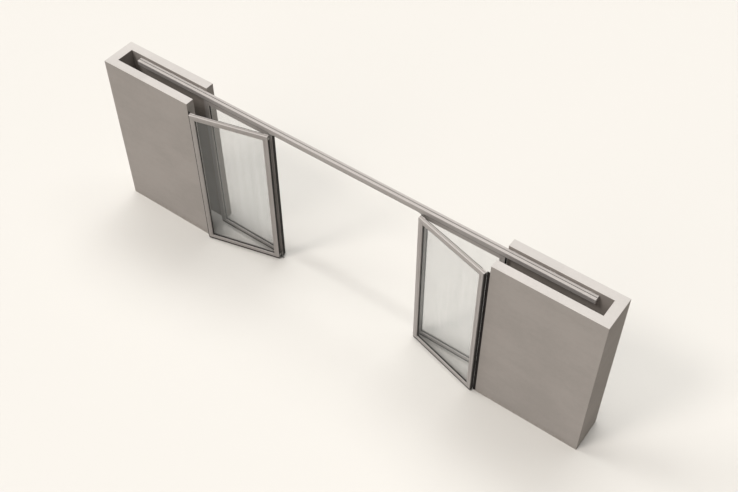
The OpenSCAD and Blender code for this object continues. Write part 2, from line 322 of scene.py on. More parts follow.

# %% [markdown]
# ## Anodised aluminium
# The track and the leaf profiles are pressed through a die and anodised in a satin warm silver.
# The die leaves hair-fine lines along each profile, which stretch the highlights sideways. An
# anisotropic shader could do that, but fine stretched noise in roughness and relief survives in
# other programs too. The lines follow the profile, so each direction has a finish of its own.
# Dust and damp settle on what faces up and leave a duller, darker film there, which the Normal
# What faces up is painted darker, as painted shade that tones down the bright tops, and is made
# duller there; the Normal of the Geometry node finds those faces.

# %% Aluminium


def aluminium_finish(name, stretch, turn=0.0):
    paint = new_paint(name)
    die_lines = grain(object_place(paint, stretch, turn), 1.0, 2, 0.55)
    patches = grain(object_place(paint), 3.1, 4, 0.6)
    haze = grain(object_place(paint), 38, 3, 0.5)
    tone = die_lines * 0.4 + patches * 0.45 + haze * 0.15
    clean = blended(between(tone, 0.36, 0.64),
                    (0.402, 0.379, 0.364), (0.465, 0.442, 0.427))
    # painted shade: faces that look up get the darker colour below, patchy with the haze, and
    # rougher too
    painted_top_shade = facing_up(paint) * between(haze, 0.2, 0.6, 0.75, 1.0)
    colour = blended(painted_top_shade, clean, (0.335, 0.310, 0.290))
    return finished(
        paint, Base_Color=colour, Metallic=0.3, Roughness=0.46 + tone * 0.16 + painted_top_shade * 0.15,
        Normal=raised(die_lines, 0.04 * MM, 0.6))


LONG, FINE = 2.5, 1400.0
upright_metal = aluminium_finish("aluminium_upright", (FINE, FINE, LONG))
track_metal = aluminium_finish("aluminium_track", (LONG, FINE, FINE))
RAIL_METAL = {f"{side}_slide": track_metal for side in SIDES}
lean = LINE["right_swing"].to_euler().z
for side, turn in (("left", lean), ("right", -lean)):
    RAIL_METAL[f"{side}_swing"] = aluminium_finish(
        f"aluminium_{side}_swing_rails", (LONG, FINE, FINE), turn)

# %% [markdown]
# ## Steel, rubber, pile and polymer
# Pivots, screws and brackets are stainless steel, brushed and a little darker than the profiles.
# The seals are matt black rubber that has gathered some dust, and the brushes are a black pile
# whose fine hairs hang down. The wheels are a grey polymer. They are small pieces, so noise of a
# few millimetres is enough to keep them from looking like plastic.

# %% Steel, rubber, pile and polymer


def steel_finish():
    paint = new_paint("brushed_steel")
    brushed = grain(object_place(paint, (60, 900, 900)), 1.0, 3, 0.6)
    stain = grain(object_place(paint), 55, 4, 0.6)
    colour = blended(between(stain, 0.35, 0.65),
                     (0.30, 0.29, 0.28), (0.40, 0.39, 0.375))
    return finished(paint, Base_Color=colour, Metallic=0.95, Roughness=0.26 + brushed * 0.2,
                    Normal=raised(brushed, 0.03 * MM, 0.5))


def rubber_finish():
    paint = new_paint("seal_rubber")
    place = object_place(paint)
    dust = grain(place, 21, 5, 0.65)
    skin = grain(place, 1900, 2, 0.5)
    colour = blended(between(dust, 0.45, 0.8),
                     (0.016, 0.014, 0.013), (0.045, 0.041, 0.038))
    return finished(paint, Base_Color=colour, Roughness=0.52 + dust * 0.25,
                    Specular_IOR_Level=0.35, Normal=raised(skin, 0.05 * MM, 0.5))


def pile_finish():
    paint = new_paint("black_pile")
    hairs = grain(object_place(paint, (900, 900, 12)), 1.0, 3, 0.7)
    colour = blended(between(hairs, 0.35, 0.7),
                     (0.012, 0.011, 0.011), (0.055, 0.050, 0.047))
    return finished(paint, Base_Color=colour, Roughness=0.82 + hairs * 0.15,
                    Specular_IOR_Level=0.15, Normal=raised(hairs, 0.4 * MM, 0.8))


def polymer_finish():
    paint = new_paint("polymer")
    worn = grain(object_place(paint), 140, 4, 0.6)
    colour = blended(between(worn, 0.4, 0.7),
                     (0.14, 0.138, 0.135), (0.22, 0.217, 0.21))
    return finished(paint, Base_Color=colour, Roughness=0.38 + worn * 0.2,
                    Normal=raised(worn, 0.06 * MM, 0.4))


steel, rubber = steel_finish(), rubber_finish()
pile, polymer = pile_finish(), polymer_finish()

# %% [markdown]
# ## Glass
# The panes are ten millimetres thick and grey-green in the mass, and at a slant they mirror the
# bright room. Real refraction would need rays through two faces and would not survive in simpler
# programs. A pane this flat hardly bends the view, so it is drawn as a tinted film: partly clear,
# and mirror-smooth with faint cleaning marks. Its colour is painted light: dark at the foot as
# painted shade, with a painted milky sheen that grows toward the top. At a slant the film grows more
# opaque, which shows more of its real gloss and more of that painted sheen.

# %% Glass


def glass_finish():
    paint = new_paint("tinted_glass")
    slant = paint.node("ShaderNodeLayerWeight", None, {"Blend": 0.5}, "Facing")
    # at a slant the film is more opaque, which shows more of its real gloss and of its painted sheen
    mirror = slant ** 5 * 0.9
    wiped = grain(object_place(paint, (9.0, 9.0, 0.35)), 1.0, 2, 0.45)
    # painted shade at the foot, fading into a painted milky sheen toward the top
    tone = blended(between(height_of(paint), 0.1, 0.75),
                   (0.16, 0.175, 0.170), (0.66, 0.70, 0.69))
    return finished(
        paint, Base_Color=tone, Roughness=0.05, IOR=1.5,
        Alpha=0.10 + mirror + between(wiped, 0.3, 0.7, 0.0, 0.026))


glass = glass_finish()

# %% [markdown]
# ## Working with outlines
# Nearly everything here is a profile: a flat outline drawn out to a bar, cut to length and eased
# at its edges. Modifiers could do all of that, but bmesh operators follow the steps of a
# workshop more closely, and their result is a plain closed mesh. The few helpers below are the
# tools on the bench: draw an outline, ease its corners, draw it out, saw it, turn it on a lathe.

# %% Outline, ease, draw out


def outline(points):
    """A new mesh with one flat face through points (x, y)."""
    mesh = bmesh.new()
    mesh.faces.new([mesh.verts.new((x, y, 0)) for x, y in points])
    return mesh


def rectangle(x0, y0, x1, y1):
    return outline([(x0, y0), (x1, y0), (x1, y1), (x0, y1)])


def only(kind, items):
    """Those of the items that are of one kind, BMVert or BMEdge."""
    return [item for item in items if isinstance(item, kind)]


def outwards(mesh):
    """Makes the faces of a solid point outwards."""
    bmesh.ops.recalc_face_normals(mesh, faces=mesh.faces[:])
    return mesh


def rounded(mesh, picked, radius, steps, affect):
    """Bevels the picked VERTICES of an outline or the picked EDGES of a solid."""
    bmesh.ops.bevel(mesh, geom=picked, offset=radius, offset_type="OFFSET", segments=steps,
                    profile=0.5, affect=affect, clamp_overlap=affect == "EDGES", material=-1)
    return mesh


def ease_corners(mesh, radius, chosen=lambda point: True, steps=3):
    """Rounds those corners of a flat outline that chosen(point) picks."""
    picked = [vertex for vertex in mesh.verts if chosen(vertex.co)]
    return rounded(mesh, picked, radius, steps, "VERTICES")


def draw_out(mesh, length):
    """Draws a flat outline out to a bar along z."""
    made = bmesh.ops.extrude_face_region(mesh, geom=mesh.faces[:])["geom"]
    bmesh.ops.translate(mesh, verts=only(BMVert, made), vec=(0, 0, length))
    return outwards(mesh)


def ease_edges(mesh, radius, chosen=lambda first, second: True, steps=2):
    """Bevels the outward edges of a solid that chosen(one end, other end) picks."""
    picked = [edge for edge in mesh.edges
              if len(edge.link_faces) == 2 and edge.calc_face_angle_signed() > math.radians(20)
              and chosen(edge.verts[0].co, edge.verts[1].co)]
    return rounded(mesh, picked, radius, steps, "EDGES")


# %% Saw, lathe, join


def saw(mesh, point, away):
    """Cuts a solid at a plane, drops the part that away points to, and closes the cut."""
    cut = bmesh.ops.bisect_plane(mesh, geom=mesh.verts[:] + mesh.edges[:] + mesh.faces[:],
                                 dist=1e-7, plane_co=point, plane_no=away, clear_outer=True)
    bmesh.ops.holes_fill(mesh, edges=only(BMEdge, cut["geom_cut"]), sides=0)
    return mesh


def lathe(profile, steps=40):
    """Spins a profile (radius, height) once round z. It is a closed ring unless it meets z."""
    mesh = bmesh.new()
    points = [mesh.verts.new((radius, 0, height)) for radius, height in profile]
    pairs = list(zip(points, points[1:]))
    if profile[0][0] > 0:
        pairs.append((points[-1], points[0]))
    edges = [mesh.edges.new(pair) for pair in pairs]
    bmesh.ops.spin(mesh, geom=points + edges, cent=(0, 0, 0), axis=(0, 0, 1),
                   angle=math.tau, steps=steps, use_merge=True)
    bmesh.ops.remove_doubles(mesh, verts=mesh.verts[:], dist=CLOSE)
    return outwards(mesh)


def moved(mesh, *place):
    """The same mesh, shifted, turned or mirrored. A mirror turns a solid inside out, so its
    faces are made to point outwards again."""
    step = place[0] if isinstance(place[0], Matrix) else Matrix.Translation(place)
    bmesh.ops.transform(mesh, matrix=step, verts=mesh.verts[:])
    return outwards(mesh) if step.determinant() < 0 else mesh


def along_x(x, y, z):
    """Lays a bar that was drawn out along z along x instead, with its outline upright."""
    return Matrix(((0, 0, 1, x), (1, 0, 0, y), (0, 1, 0, z), (0, 0, 0, 1)))


def joined(*meshes):
    """One mesh that holds all of them."""
    whole = meshes[0]
    for part in meshes[1:]:
        carrier = bpy.data.meshes.new("carrier")
        part.to_mesh(carrier)
        part.free()
        whole.from_mesh(carrier)
        bpy.data.meshes.remove(carrier)
    return whole


def copy_of(node):
    """A clean copy of a solid of the model: points merged, flat faces made whole."""
    mesh = bmesh.new()
    mesh.from_mesh(nodes[node].data)
    bmesh.ops.remove_doubles(mesh, verts=mesh.verts[:], dist=CLOSE)
    bmesh.ops.dissolve_limit(mesh, angle_limit=math.radians(1), verts=mesh.verts[:],
                             edges=mesh.edges[:])
    mesh.normal_update()
    return mesh


# %% Finish a piece


def piece(name, mesh, finish, body, stands_for, place=HERE):
    """Turns a mesh into a shown piece that moves with its body and stands for its solids.

    finish is one material, or a list of them that the material numbers of the faces refer to.
    """
    data = bpy.data.meshes.new(name)
    outwards(moved(mesh, place)).to_mesh(data)
    mesh.free()
    data.shade_smooth()
    data.set_sharp_from_angle(angle=math.radians(35))
    for coat in finish if isinstance(finish, list) else [finish]:
        data.materials.append(coat)
    shown = placed(name, data)
    shown.modifiers.new("even_shading", "WEIGHTED_NORMAL").keep_sharp = True
    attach(shown, body)
    if stands_for:
        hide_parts(*stands_for)


# %% [markdown]
# ## Wall pockets
# Each pocket is built of blocks and plastered over, so it shows as one body without joints. Its
# outline in plan is a U that opens toward the doorway. Drawing the U once and raising it gives
# the front, back and end wall in one go. Plaster is never sharp at its corners: the outward edges
# are rounded by a few millimetres, which also gives them the light line that walls have.

# %% Wall pockets
ARRIS = 4 * MM
for side in SIDES:
    walls = [f"{side}_{wall}_wall" for wall in ("front", "back", "end")]
    front, back, end = [measured(wall, HALF[side]) for wall in walls]
    mouth, inside, outside = front[0].x, end[0].x, end[1].x
    shell = draw_out(outline([
        (mouth, front[0].y), (outside, front[0].y), (outside, back[1].y), (mouth, back[1].y),
        (mouth, back[0].y), (inside, back[0].y), (inside, front[1].y), (mouth, front[1].y),
    ]), front[1].z)
    ease_edges(shell, ARRIS, lambda one, other: max(one.z, other.z) > ARRIS, 4)
    # The faces inside the pocket get the darker copy, as painted shade.
    for face in shell.faces:
        middle = face.calc_center_median()
        within = front[0].y < middle.y - ARRIS < middle.y + ARRIS < back[1].y
        if within and mouth + ARRIS < middle.x < outside - ARRIS and abs(face.normal.z) < 0.5:
            face.material_index = 1
    piece(f"{side}_pocket", shell, [plaster, pocket_shade_plaster], "frame", walls,
          HALF[side])
    print(side, "pocket", round(outside - mouth, 3), "m long")

# %% [markdown]
# ## Track
# The track is one aluminium channel. The solid of the model already has its bevelled top, bolt
# groove and slot, so a copy is enough, with its long outward edges broken by half a millimetre:
# without that, an edge catches no light. A black rubber strip lies in the bolt groove, and as
# painted shade it draws the fine dark line that a deeper groove would leave in shadow. A dark brush
# hangs below each edge against draughts and dust, and is also painted shade: it draws the dark line
# under the edge of the track. The front wall of each pocket carries an upright dark brush at its
# mouth, which wipes the end of the leaf that folds past it and, as painted shade, fills the gap
# there with dark. Steel blocks hold the track to the walls inside the pockets, and a plate with four
# screws closes each end.

# %% Track and its wall blocks


def runs_along_x(one, other):
    return abs(one.x - other.x) > 0.99 * (one - other).length


track = ease_edges(copy_of("track"), 0.7 * MM, runs_along_x)
piece("track_channel", track, track_metal, "frame", ["track"])
blocks = ease_edges(copy_of("track_wall_spacers"), 1.0 * MM)
piece("track_wall_blocks", blocks, steel, "frame", ["track_wall_spacers"])

track_low, track_high = measured("track")
rim_y = levels("track", 1, keep=lambda point: point.z > track_high.z - CLOSE)[1:3]
groove_z = max(point.z for point in corners("track") if abs(point.y - rim_y[0]) < CLOSE
               and point.z < track_high.z - CLOSE)
# painted shade: a black strip in the bolt groove draws the dark line of a deeper groove in shadow
GROOVE_SHADE_GAP, GROOVE_SHADE_END = 0.3 * MM, 1 * MM
groove_shade_wide = rim_y[1] - rim_y[0] - 2 * GROOVE_SHADE_GAP
groove_shade_tall = (track_high.z - groove_z) * 0.75
groove_shade_strip = rectangle(0, 0, groove_shade_wide, groove_shade_tall)
ease_corners(groove_shade_strip, groove_shade_tall * 0.4, lambda point: point.y > groove_shade_tall - CLOSE, 4)
draw_out(groove_shade_strip, track_high.x - track_low.x - 2 * GROOVE_SHADE_END)
piece("track_groove_shade_strip", groove_shade_strip, rubber, "frame", [],
      along_x(track_low.x + GROOVE_SHADE_END, rim_y[0] + GROOVE_SHADE_GAP, groove_z))


# %% Brushes below the edges of the track and at the mouths of the pockets


def brush(wide, tall, length):
    """A brush along z: its foot lies on y = 0 from x = 0 to wide, its hairs reach to tall."""
    foot = tall * 0.3
    mesh = outline([(0, 0), (wide, 0), (wide, foot), (wide * 0.9, foot), (wide * 0.8, tall),
                    (wide * 0.2, tall), (wide * 0.1, foot), (0, foot)])
    ease_corners(mesh, wide * 0.12, lambda point: point.y > tall - CLOSE, 2)
    return draw_out(mesh, length)


BRUSH_WIDE, BRUSH_TALL, BRUSH_INSET, BRUSH_END = 5 * MM, 6 * MM, 0.4 * MM, 1.5 * MM
plates = [measured(f"{side}_top_pivot") for side in SIDES]
stops = sorted([track_low.x] + [box[end].x for box in plates for end in (0, 1)] + [track_high.x])
shade_brushes = []
# painted shade: the dark brushes draw the dark line under both edges of the track
for edge_y, inward in ((track_low.y, 1), (track_high.y, -1)):
    pieces = list(zip(stops[::2], stops[1::2])) if inward > 0 else [(stops[0], stops[-1])]
    for start, stop in pieces:
        hanging = Matrix(((0, 0, 1, start + BRUSH_END),
                          (inward, 0, 0, edge_y + inward * BRUSH_INSET),
                          (0, -1, 0, track_low.z), (0, 0, 0, 1)))
        hairs = brush(BRUSH_WIDE, BRUSH_TALL, stop - start - 2 * BRUSH_END)
        shade_brushes.append(moved(hairs, hanging))
piece("track_shade_brushes", joined(*shade_brushes), pile, "frame", [])

MOUTH_WIDE, MOUTH_TALL, OFF_FLOOR = 12 * MM, 40 * MM, 2 * MM
for side in SIDES:
    wall = measured(f"{side}_front_wall", HALF[side])
    leaf_top = measured(f"{side}_swing_hinge_stile")[1].z
    # painted shade: the dark brush at the mouth fills the gap at the end of the folded leaf with
    # dark
    upright = HALF[side] @ Matrix(((0, -1, 0, wall[0].x), (1, 0, 0, wall[0].y + ARRIS),
                                   (0, 0, 1, OFF_FLOOR), (0, 0, 0, 1)))
    hairs = brush(MOUTH_WIDE, MOUTH_TALL, leaf_top - OFF_FLOOR)
    piece(f"{side}_mouth_shade_brush", hairs, pile, "frame", [], upright)
    print(side, "mouth brush", round(leaf_top, 3), "m high")

# %% [markdown]
# ## Screws and pins
# A screw head is a low disc with a hexagonal socket. The socket could be cut with a Boolean, but
# bridging the outer ring to a six-sided ring, and sinking the inner ring, gives cleaner faces.
# The six-sided ring is divided first, so that both rings have the same number of points.

# %% Screw head and pin


def ring_edges(mesh, corners_in_ring, radius, height):
    made = bmesh.ops.create_circle(mesh, cap_ends=False, segments=corners_in_ring, radius=radius)
    bmesh.ops.translate(mesh, verts=made["verts"], vec=(0, 0, height))
    return list({edge for vertex in made["verts"] for edge in vertex.link_edges})


def sink(mesh, edges, depth):
    """Pulls a ring of edges down by depth and closes it with a face."""
    made = bmesh.ops.extrude_edge_only(mesh, edges=edges)["geom"]
    bmesh.ops.translate(mesh, verts=only(BMVert, made), vec=(0, 0, -depth))
    bmesh.ops.contextual_create(mesh, geom=only(BMEdge, made))


def screw_head(radius, height, ease=0.4 * MM):
    """A screw head that stands on z = 0."""
    mesh = bmesh.new()
    rim = ring_edges(mesh, 24, radius, height)
    socket = ring_edges(mesh, 6, radius * 0.52, height)
    socket = only(BMEdge, bmesh.ops.subdivide_edges(mesh, edges=socket, cuts=3)["geom_split"])
    bmesh.ops.bridge_loops(mesh, edges=rim + socket)
    sink(mesh, rim, height)
    sink(mesh, socket, height * 0.7)
    return ease_edges(outwards(mesh), ease, lambda one, other: min(
        one.z, other.z, one.xy.length, other.xy.length) > min(height, radius) * 0.99)


def pin(radius, length, ease):
    """A round pin that stands on z = 0, chamfered at both ends."""
    return lathe([(0, 0), (radius - ease, 0), (radius, ease), (radius, length - ease),
                  (radius - ease, length), (0, length)], 32)


# %% End caps of the track
FROM_SIDE, FROM_FOOT, FROM_TOP = 10 * MM, 9 * MM, 15 * MM
cap_parts = []
sideways = Matrix.Rotation(math.radians(90), 4, "Y")
for side in SIDES:
    low, high = measured("track_end_caps", HALF[side], lambda point: point.x > 0)
    plate = copy_of("track_end_caps")
    saw(plate, (0, 0, 0), HALF[side] @ Vector((-1, 0, 0)))
    moved(plate, HALF[side])
    ease_edges(plate, 0.6 * MM, lambda one, other: min(one.x, other.x) > high.x - CLOSE)
    screws = [moved(moved(screw_head(4 * MM, 2.2 * MM), sideways), high.x, y, z)
              for y in (low.y + FROM_SIDE, high.y - FROM_SIDE)
              for z in (low.z + FROM_FOOT, high.z - FROM_TOP)]
    cap_parts.append(moved(joined(plate, *screws), HALF[side]))
piece("track_end_plates", joined(*cap_parts), track_metal, "frame", ["track_end_caps"])
print("end plates closed with", len(screws), "screws each")

# %% [markdown]
# ## Leaf frames
# Every leaf has four profiles with mitred corners. One outline serves them all: across it runs from
# the outer edge of the leaf to the glass, and in depth from the front face to the back. On both
# faces a fine open line shows where the glazing bead is clipped in. The bead takes the same share of
# every profile, so its line turns each mitre without a break. The top rail also has the guide groove
# for the trolleys. A picture frame could be made as one ring, but four sawn bars leave the hairline
# joints that a real corner has. The outer face of each stile is given the black rubber finish.

# %% Outline of a profile
BEAD_SHARE, BEAD_LINE, LINE_DEPTH, HAIRLINE = 0.67, 3.0 * MM, 3.2 * MM, 0.12 * MM
GLAZING = [y - leaf_low.y for y in levels("right_slide_lead_stile", 1)[1:3]]
GLAZING_D = leaf_high.x - levels("right_slide_lead_stile", 0)[-2]
GUIDE = [y - leaf_low.y for y in levels("right_slide_top_rail", 1)[2:4]]
GUIDE_D = LEAF_Z1 - levels("right_slide_top_rail", 2)[-2]
print("glazing", [round(v / MM, 1) for v in GLAZING + [GLAZING_D]],
      "guide", [round(v / MM, 1) for v in GUIDE + [GUIDE_D]], "mm")


def profile(width, guide=False):
    """Outline of a frame member: x from the outer edge to the glass, y from front to back."""
    line = width * BEAD_SHARE
    points = [
        (0, 0), (line, 0), (line, LINE_DEPTH), (line + BEAD_LINE, LINE_DEPTH),
        (line + BEAD_LINE, 0), (width, 0), (width, GLAZING[0]),
        (width - GLAZING_D, GLAZING[0]), (width - GLAZING_D, GLAZING[1]), (width, GLAZING[1]),
        (width, LEAF_T), (line + BEAD_LINE, LEAF_T), (line + BEAD_LINE, LEAF_T - LINE_DEPTH),
        (line, LEAF_T - LINE_DEPTH), (line, LEAF_T), (0, LEAF_T),
    ]
    if guide:
        points += [(0, GUIDE[1]), (GUIDE_D, GUIDE[1]), (GUIDE_D, GUIDE[0]), (0, GUIDE[0])]
    mesh = outline(points)
    for radius, first, last, steps in ((1.6 * MM, 0, 0, 4), (0.9 * MM, width, width, 3),
                                       (0.3 * MM, line, line + BEAD_LINE, 1)):
        ease_corners(mesh, radius, lambda point: min(point.y, LEAF_T - point.y) < CLOSE
                     and first - CLOSE < point.x < last + CLOSE, steps)
    return mesh


# %% Saw the four bars of each leaf
PLACE, WIDTH = {}, {}
for leaf, (inner_end, outer_end) in LEAVES.items():
    near = measured(f"{leaf}_{inner_end}_stile", LINE[leaf])
    far = measured(f"{leaf}_{outer_end}_stile", LINE[leaf])
    PLACE[leaf] = LINE[leaf] @ Matrix.Translation((near[0].x, near[0].y, 0))
    WIDTH[leaf] = far[1].x - near[0].x


def leaf_piece(leaf, name, mesh, finish, parts):
    """A piece that is drawn in the frame of a leaf, moves with it and stands for its parts."""
    piece(f"{leaf}_{name}", mesh, finish, f"{leaf}_leaf", [f"{leaf}_{part}" for part in parts],
          PLACE[leaf])


def mitre(bar, corner, inner, keep):
    """Saws a bar along the line from corner to inner, keeping the side that keep lies on."""
    along = Vector((inner[0] - corner[0], 0, inner[1] - corner[1])).normalized()
    away = along.cross(Vector((0, 1, 0)))
    if away.dot(Vector((keep[0] - corner[0], 0, keep[1] - corner[1]))) > 0:
        away = -away
    start = Vector((corner[0], 0, corner[1])) - away * HAIRLINE
    return saw(bar, start, away)


def crossings(xs, zs):
    """Where two upright lines meet two level ones, by the numbers of the lines."""
    return {(x, z): (xs[x], zs[z]) for x in (0, 1) for z in (0, 1)}


down_from_top = Matrix(((0, 0, 1, 0), (0, 1, 0, 0), (-1, 0, 0, LEAF_Z1), (0, 0, 0, 1)))
up_from_foot = Matrix(((0, 0, 1, 0), (0, 1, 0, 0), (1, 0, 0, LEAF_Z0), (0, 0, 0, 1)))
for leaf, ends in LEAVES.items():
    width, middle = WIDTH[leaf], (WIDTH[leaf] / 2, (LEAF_Z0 + LEAF_Z1) / 2)
    outer = crossings((0, width), (LEAF_Z0, LEAF_Z1))
    sight = crossings((STILE_W, width - STILE_W), (LEAF_Z0 + BOTTOM_H, LEAF_Z1 - TOP_H))
    for x, end in enumerate(ends):
        bar = moved(draw_out(profile(STILE_W), LEAF_Z1 - LEAF_Z0), 0, 0, LEAF_Z0)
        if x:
            moved(bar, Matrix.Translation((width, 0, 0)) @ MIRROR)
        for z in (0, 1):
            mitre(bar, outer[x, z], sight[x, z], (outer[x, z][0], middle[1]))
        # The outer face of the stile gets the black rubber finish.
        for face in bar.faces:
            if abs(face.calc_center_median().x - x * width) < 0.1 * MM:
                face.material_index = 1
        leaf_piece(leaf, f"{end}_stile_bar", bar, [upright_metal, rubber], [f"{end}_stile"])
    for z, rail in enumerate(("bottom", "top")):
        bar = draw_out(profile((BOTTOM_H, TOP_H)[z], guide=z == 1), width)
        moved(bar, (up_from_foot, down_from_top)[z])
        for x in (0, 1):
            mitre(bar, outer[x, z], sight[x, z], (middle[0], outer[x, z][1]))
        leaf_piece(leaf, f"{rail}_rail_bar", bar, RAIL_METAL[leaf], [f"{rail}_rail"])
    print(leaf, "leaf", round(width, 3), "m wide")

# %% [markdown]
# ## Glass and its gaskets
# The pane stays as the model has it, since a pane is nothing more than a flat sheet, and only
# gets its finish. The gasket on each side of it is a rubber frame whose lip shows as a thin dark
# line. The ring is made from one rectangle by an inset, thickened, and rounded along its lip.

# %% Gaskets


def gasket(low, high, across, lip_at_low):
    """A rubber ring from low to high whose rounded lip faces the room."""
    mesh = rectangle(low.x, low.z, high.x, high.z)
    mesh.normal_update()
    hole = mesh.faces[:]
    bmesh.ops.inset_region(mesh, faces=hole, thickness=across, use_boundary=True,
                           use_even_offset=True)
    bmesh.ops.delete(mesh, geom=hole, context="FACES")
    standing = Matrix(((1, 0, 0, 0), (0, 0, 1, low.y), (0, 1, 0, 0), (0, 0, 0, 1)))
    moved(draw_out(mesh, high.y - low.y), standing)
    lip_y = low.y if lip_at_low else high.y

    def on_lip(one, other):
        return all(abs(end.y - lip_y) < CLOSE
                   and low.x + across / 2 < end.x < high.x - across / 2 for end in (one, other))

    return ease_edges(mesh, 2.2 * MM, on_lip, 3)


for leaf in LEAVES:
    solid = (f"{leaf}_gaskets", PLACE[leaf])
    low, high = measured(*solid)
    outer_x, inner_x = levels(solid[0], 0, solid[1])[:2]
    front0, front1, back0, back1 = levels(solid[0], 1, solid[1])
    wide = inner_x - outer_x
    rings = [gasket(Vector((low.x, y0, low.z)), Vector((high.x, y1, high.z)), wide, lip_at_low)
             for y0, y1, lip_at_low in ((front0, front1, True), (back0, back1, False))]
    leaf_piece(leaf, "gasket_rings", joined(*rings), rubber, ["gaskets"])
    nodes[f"{leaf}_glass"].data.materials[0] = glass
    print(leaf, "gaskets", round(wide / MM), "mm wide, and pane")

# %% [markdown]
# ## Seals
# The end of each leaf carries a black strip with three hollow ribs, which squash against those
# of the next leaf. Under the leaf hangs a sweep with two thin lips that just clear the floor. A
# flat strip lies on the front face of a swing leaf, beside its free end, and a low lip along its
# top, on the face that is outside when the wall is closed. All are extrusions, so again an outline
# is drawn and pulled to length.

# %% Seals


def ribbed_strip(thick, wide, ribs=3, share=0.7):
    """A strip that lies on x = 0 and reaches to -thick, with rounded ribs along it."""
    base, pitch = thick * 0.34, wide / ribs
    points = [(0, 0), (-base, 0)]
    for number in range(ribs):
        start, stop = (number + 0.5 - share / 2) * pitch, (number + 0.5 + share / 2) * pitch
        points += [(-base, start), (-thick, start), (-thick, stop), (-base, stop)]
    points += [(-base, wide), (0, wide)]
    return ease_corners(outline(points), (thick - base) * 0.8,
                        lambda point: abs(point.x + thick) < CLOSE, 5)


def sweep(low, high):
    """The outline of the sweep in depth and height."""
    lip, stem = 3.2 * MM, 6.5 * MM
    root = high.z - 7 * MM
    mesh = outline([(low.y, high.z), (low.y, low.z), (low.y + lip, low.z), (low.y + stem, root),
                    (high.y - stem, root), (high.y - lip, low.z), (high.y, low.z),
                    (high.y, high.z)])
    return ease_corners(mesh, 1.2 * MM, lambda point: abs(point.y - low.z) < CLOSE, 3)


def fin_on_foot(wide, tall):
    """The outline of the lip along the top of a leaf: a foot with one thin fin on it."""
    foot, fin = 1.2 * MM, 3.6 * MM
    middle = wide / 2
    mesh = outline([(0, 0), (wide, 0), (wide, foot), (middle + fin / 2, foot),
                    (middle + fin * 0.3, tall), (middle - fin * 0.3, tall),
                    (middle - fin / 2, foot), (0, foot)])
    return ease_corners(mesh, 0.9 * MM, lambda point: point.y > tall - CLOSE, 3)


for leaf in LEAVES:
    width, strips = WIDTH[leaf], []
    for x, facing in ((0, 1), (width, -1)):
        low, high = measured(f"{leaf}_seals", PLACE[leaf], lambda point:
                             facing * (point.x - x) < CLOSE and point.z > LEAF_Z0 - CLOSE)
        thick, wide = high.x - low.x, high.y - low.y
        strip = draw_out(ribbed_strip(thick, wide), high.z - low.z)
        if facing < 0:
            moved(strip, MIRROR)
        strips.append(moved(strip, x, low.y, low.z))
    low, high = measured(f"{leaf}_seals", PLACE[leaf], lambda point:
                         point.z < LEAF_Z0 + CLOSE and 1 * MM < point.x < width - 1 * MM)
    strips.append(moved(draw_out(sweep(low, high), high.x - low.x), along_x(low.x, 0, 0)))
    leaf_piece(leaf, "rubber_strips", joined(*strips), rubber, ["seals"])
    print(leaf, "seals, sweep", round((high.z - low.z) / MM), "mm high")

# %% Edge strips and top lips of the swing leaves
EDGE_PROUD, EDGE_INSET, EDGE_WIDE = 0.2 * MM, 1.8 * MM, 8 * MM
LIP_WIDE, LIP_TALL, LIP_INSET = 7 * MM, 3 * MM, 1.5 * MM


def edge_strip(wide, length):
    """A flat strip on the plane y = 0, from x = 0 to wide, with two eased outer corners."""
    mesh = rectangle(0, -EDGE_PROUD, wide, 1 * MM)
    ease_corners(mesh, EDGE_PROUD * 0.8, lambda point: point.y < 0, 2)
    return draw_out(mesh, length)


SWING_LEAVES = [f"{side}_swing" for side in SIDES]
for leaf in SWING_LEAVES:
    low, high = measured(f"{leaf}_free_stile", PLACE[leaf])
    strip = moved(edge_strip(EDGE_WIDE, high.z - low.z - 2 * EDGE_INSET),
                  high.x - EDGE_INSET - EDGE_WIDE, low.y, low.z + EDGE_INSET)
    leaf_piece(leaf, "edge_strips", strip, rubber, [])
for leaf in SWING_LEAVES:
    length = WIDTH[leaf] - 2 * STILE_W
    strip = moved(draw_out(fin_on_foot(LIP_WIDE, LIP_TALL), length),
                  along_x(STILE_W, LEAF_T - LIP_INSET - LIP_WIDE, LEAF_Z1))
    leaf_piece(leaf, "top_lip", strip, rubber, [])
    print(leaf, "edge strip and", round(length, 3), "m of top lip")

# %% [markdown]
# ## Pivots
# A swing leaf turns on two pins. The upper pin hangs from a plate under the track, and the lower
# one stands on a plate on the floor. The plates have rounded corners and two sunk screws each,
# and the pins are chamfered so that the leaf can be lifted on.

# %% Pivot plates and pins
SCREW_INSET, SUNK = 12 * MM, 0.8 * MM


def plate_with_pin(node, place, pin_radius, screws_up):
    """A plate with its pin and two screws; the pivot axis is upright at the origin of place."""
    low, high = measured(node, place)
    heights = levels(node, 2, place)
    z0, z1 = heights[:2] if screws_up else heights[-2:]
    pin_z0, pin_z1 = (z1 - 1 * MM, high.z) if screws_up else (low.z, z0 + 1 * MM)
    plate = rectangle(low.x, low.y, high.x, high.y)
    ease_corners(plate, 6 * MM, lambda point: point.y < 0 or not screws_up, 6)
    plate = moved(draw_out(plate, z1 - z0), 0, 0, z0)
    ease_edges(plate, 0.6 * MM)
    parts = [plate, moved(pin(pin_radius, pin_z1 - pin_z0, 1 * MM), 0, 0, pin_z0)]
    for x in (low.x + SCREW_INSET, high.x - SCREW_INSET):
        head = screw_head(4.6 * MM, 1.4 * MM, 0.3 * MM)
        if not screws_up:
            moved(head, Matrix.Rotation(math.pi, 4, "X"))
        parts.append(moved(head, x, (low.y + high.y) / 2,
                           z1 - SUNK if screws_up else z0 + SUNK))
    return joined(*parts)


